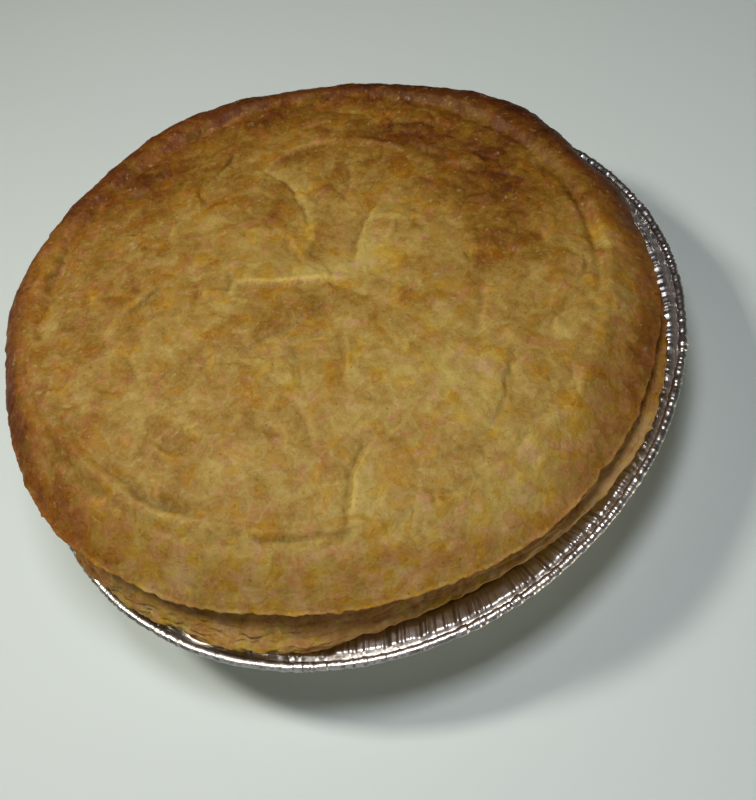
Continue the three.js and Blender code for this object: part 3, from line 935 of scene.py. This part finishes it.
def on_disc(a, b):
    """The place on a disc of radius 1 of a place on the square from -1 to 1."""
    far = max(abs(a), abs(b), 1e-9)
    if abs(a) >= abs(b):
        turn = math.pi / 4 * b / max(abs(a), 1e-9) * (1 if a > 0 else -1)
        turn += 0 if a > 0 else math.pi
    else:
        turn = math.pi / 2 - math.pi / 4 * a / b + (math.pi if b < 0 else 0)
    return far * math.cos(turn), far * math.sin(turn)


def lid_blank():
    """A round blank for the lid, with its top, side face and underside at their heights."""
    top_edge = LID_RADIUS - 2.6 * MM
    bm = bmesh.new()
    bmesh.ops.create_grid(bm, x_segments=LID_CELLS, y_segments=LID_CELLS, size=1.0)
    for vert in bm.verts:
        a, b = on_disc(vert.co.x, vert.co.y)
        vert.co = (a * top_edge, b * top_edge, 1.0)
    rings = [(LID_RADIUS - inset * MM, 1.0) for inset in ROUNDING]
    rings += [(LID_RADIUS, height) for height in SIDE_LEVELS]
    rings += [(radius * MM, UNDERSIDE) for radius in UNDERSIDE_RADII]
    edges = [e for e in bm.edges if e.is_boundary]
    for radius, height in rings:
        made = bmesh.ops.extrude_edge_only(bm, edges=edges)["geom"]
        edges = [e for e in made if isinstance(e, bmesh.types.BMEdge) and e.is_boundary]
        for vert in {v for e in edges for v in e.verts}:
            far = math.hypot(vert.co.x, vert.co.y)
            vert.co = (vert.co.x * radius / far, vert.co.y * radius / far, height)
    bmesh.ops.contextual_create(bm, geom=edges)
    return bm


def lid_texture(x, y, part):
    """Patterns of the lid's skin, about -1 to 1: slow waves, bumps, blisters, crumbs, flakes,
    chips, and the flaky layers of its side face."""
    zeros = np.zeros_like(x)
    flat = np.stack([x, y, zeros], axis=1)
    bumps = grain(flat, 10 * MM, 23, 2)
    warped = flat + 3.5 * MM * np.stack([bumps, grain(flat, 9 * MM, 33, 2), zeros], axis=1)
    return {
        "waves": grain(flat, 24 * MM, 21),
        "bumps": bumps,
        "blisters": 2 * np.abs(grain(warped, 11 * MM, 25, 3)) - 0.5,
        "crumbs": grain(warped, 2.6 * MM, 27, 3),
        "flakes": flakes(warped, 6 * MM, 3) - 0.5,
        "chips": flakes(warped, 3.2 * MM, 5) - 0.5,
        "layers": strata(np.arctan2(y, x), part * LID_LAYERED, LID_LAYER, 7 * MM, 29)[0],
    }


def lid_reach(radius, angle, part, layers, side):
    """How far the lid's points stand from its centre: bulges, hanging stretches, a notched and
    torn edge, and a side face that steps in below its top."""
    edge = share(radius, LID_SHOULDER, LID_RADIUS)
    swell = swollen(angle, LID_BULGES) - 0.2 + 0.6 * edge_wave(angle, 2.3)
    hang = lid_droop(angle, radius) * (0.39 + 0.85 * np.sin(angle))
    notch = grain(around(angle), 3 * MM, 31, 4)
    tear = grain(around(angle), 1.6 * MM, 39, 2)
    nick = np.maximum(0, grain(around(angle), 12 * MM, 37, 3) - 0.38)
    torn = 0.5 * notch + 0.15 * tear - 2.0 * nick
    face = 0.35 * layers - 0.8 * (part < 0.9)
    return radius + (edge * swell + hang + edge ** 6 * torn + side * face) * MM


def lid_marks(radius, angle, part, texture, side, fold_shading, brown):
    """How baked the lid is, with painted light on the front of its rim; its painted shading and
    pale valleys between blisters; and how pink it is.
    """
    inside = 1 - share(radius, LID_SHOULDER, LID_RADIUS)
    back = around_to(angle, *BROWN_BACK)
    left = around_to(angle, *BROWN_LEFT)
    rim = (0.14 + 0.16 * back + 0.24 * left) * eased(radius, 96 * MM, 106 * MM)
    rim += 0.09 * back * eased(radius, 84 * MM, 98 * MM)
    # Painted light: the rim is paler at the front.
    rim -= 0.3 * around_to(angle, *PAINTED_LIGHT_FRONT) * eased(radius, 97 * MM, 105 * MM)
    bake_and_painted_shading = 0.27 + brown + rim + mixed(texture, LID_BAKING)
    bake_and_painted_shading += side * (0.1 + 0.12 * texture["layers"])
    # Painted shade and highlights from the folds; paler along the narrow valleys between blisters.
    painted_shading = inside * (0.95 * np.clip(fold_shading, -1, 1) - 0.12 * (texture["blisters"] < -0.35))
    # A painted highlight along the lid's lip, except behind.
    lip_highlight = eased(radius, LID_RADIUS - 1.2 * MM, LID_RADIUS - 0.3 * MM) * (part > 0.8)
    painted_shading -= 0.9 * lip_highlight * (1 - back)
    plain = 0.9 * around_to(angle, *PLAIN_BACK)
    blush_and_shade = 0.11 * (1 - plain) * eased(radius, 84 * MM, 102 * MM) - 0.035
    return {"bake_and_painted_shading": bake_and_painted_shading, "painted_shading": painted_shading, "blush_and_shade": blush_and_shade}


def pastry_lid(pastry):
    """The lid: a low dome with a ring pressed into it, folds and blisters, and a rough lip."""
    def place(x, y, part):
        radius = np.hypot(x, y)
        angle = np.arctan2(y, x)
        on_top = part > TOP_FROM
        side = (part > SIDE_FROM) & ~on_top
        edge = share(radius, LID_SHOULDER, LID_RADIUS)
        texture = lid_texture(x, y, part)
        reach = lid_reach(radius, angle, part, texture["layers"], side)
        px = reach * np.cos(angle)
        py = reach * np.sin(angle)
        folds, fold_shading, brown = lid_relief(px, py)
        relief = (1 - 0.8 * edge) * folds + mixed(texture, LID_RELIEF) * MM
        weight = share(part, SIDE_END, 1)
        face = LID_BOTTOM + lid_lip(angle) + weight * lid_edge_height(angle)
        skin = np.where(on_top, lid_top(x, y), face) + weight * relief
        px += LID_CENTRE.x
        py += LID_CENTRE.y
        pz = np.where(part > SIDE_FROM, skin, LID_BOTTOM + lid_lip(angle) * edge)
        pz += lid_shift(px, py)
        over = np.maximum(0, pz - LID_CEILING)
        pz += LID_GIVE * np.tanh(over / LID_GIVE) - over
        return (px, py, pz), lid_marks(radius, angle, part, texture, side, fold_shading, brown)

    finished("pastry_lid_top", lid_blank(), place, pastry, "pastry_lid")


# ---------------------------------------------------------------- stage

def worktop():
    """A plain pale worktop, matt laminate, that takes soft shadows."""
    bm = bmesh.new()
    bmesh.ops.create_grid(bm, x_segments=1, y_segments=1, size=WORKTOP_REACH)
    mesh = bpy.data.meshes.new("worktop")
    bm.to_mesh(mesh)
    bm.free()
    material, tree = new_material("pale_laminate_worktop")
    shader = tree.nodes["Principled BSDF"]
    shader.inputs["Base Color"].default_value = linear("#d5e0da")
    shader.inputs["Roughness"].default_value = 0.6
    mesh.materials.append(material)
    top = bpy.data.objects.new("worktop", mesh)
    bpy.context.scene.collection.objects.link(top)


def light(name, kind, power, colour):
    """A light of that kind in the scene, still to be placed."""
    data = bpy.data.lights.new(name, kind)
    data.energy = power
    data.color = linear(colour)[:3]
    made = bpy.data.objects.new(name, data)
    bpy.context.scene.collection.objects.link(made)
    return made


def lamp(name, place, size, power, colour):
    """A soft square lamp aimed at the middle of the pie."""
    made = light(name, "AREA", power, colour)
    made.data.size = size
    made.location = place
    made.rotation_euler = (Vector(place) - LAMP_AIM).to_track_quat("Z", "Y").to_euler()


def low_light(elevation, azimuth, strength, colour):
    """A broad weak light from low at the front right, even over the whole worktop, which
    reaches the crust under the lid's edge. Angles are in degrees."""
    made = light("low_light", "SUN", strength, colour)
    made.data.angle = LOW_LIGHT_WIDTH
    made.rotation_euler = (math.radians(90 - elevation), 0, math.radians(90 + azimuth))


def camera():
    """The viewpoint: above the front of the pie, tipped to one side."""
    back = Vector((0, -math.cos(ELEVATION), math.sin(ELEVATION)))
    level = Vector((1, 0, 0))
    upright = back.cross(level)
    right = math.cos(ROLL) * level + math.sin(ROLL) * upright
    up = -math.sin(ROLL) * level + math.cos(ROLL) * upright
    data = bpy.data.cameras.new("camera")
    data.sensor_width = SENSOR
    data.lens = LENS
    data.clip_start = 10 * MM
    made = bpy.data.objects.new("camera", data)
    axes = Matrix((right, up, back)).transposed().to_4x4()
    made.matrix_world = Matrix.Translation(TARGET + back * DISTANCE) @ axes
    bpy.context.scene.collection.objects.link(made)
    bpy.context.scene.camera = made


def room():
    """A dim warm room all round, which fills the shadows a little."""
    made = bpy.data.worlds.new("soft_room")
    made.use_nodes = True
    sky = made.node_tree.nodes["Background"]
    sky.inputs["Color"].default_value = linear("#e8e0d4")
    sky.inputs["Strength"].default_value = 0.02
    bpy.context.scene.world = made
    bpy.context.scene.view_settings.view_transform = "Standard"


camera()
room()
for name, place, size, power, colour in LAMPS:
    lamp(name, place, size, power, colour)
low_light(elevation=5, azimuth=-47, strength=0.68, colour="#fff0dc")
worktop()
foil = pressed_foil()
dish_bowl(foil)
dish_rim(foil)
pastry_case(baked_pastry("flaky_crust_pastry"))
pastry_lid(baked_pastry("egg_washed_puff_pastry"))
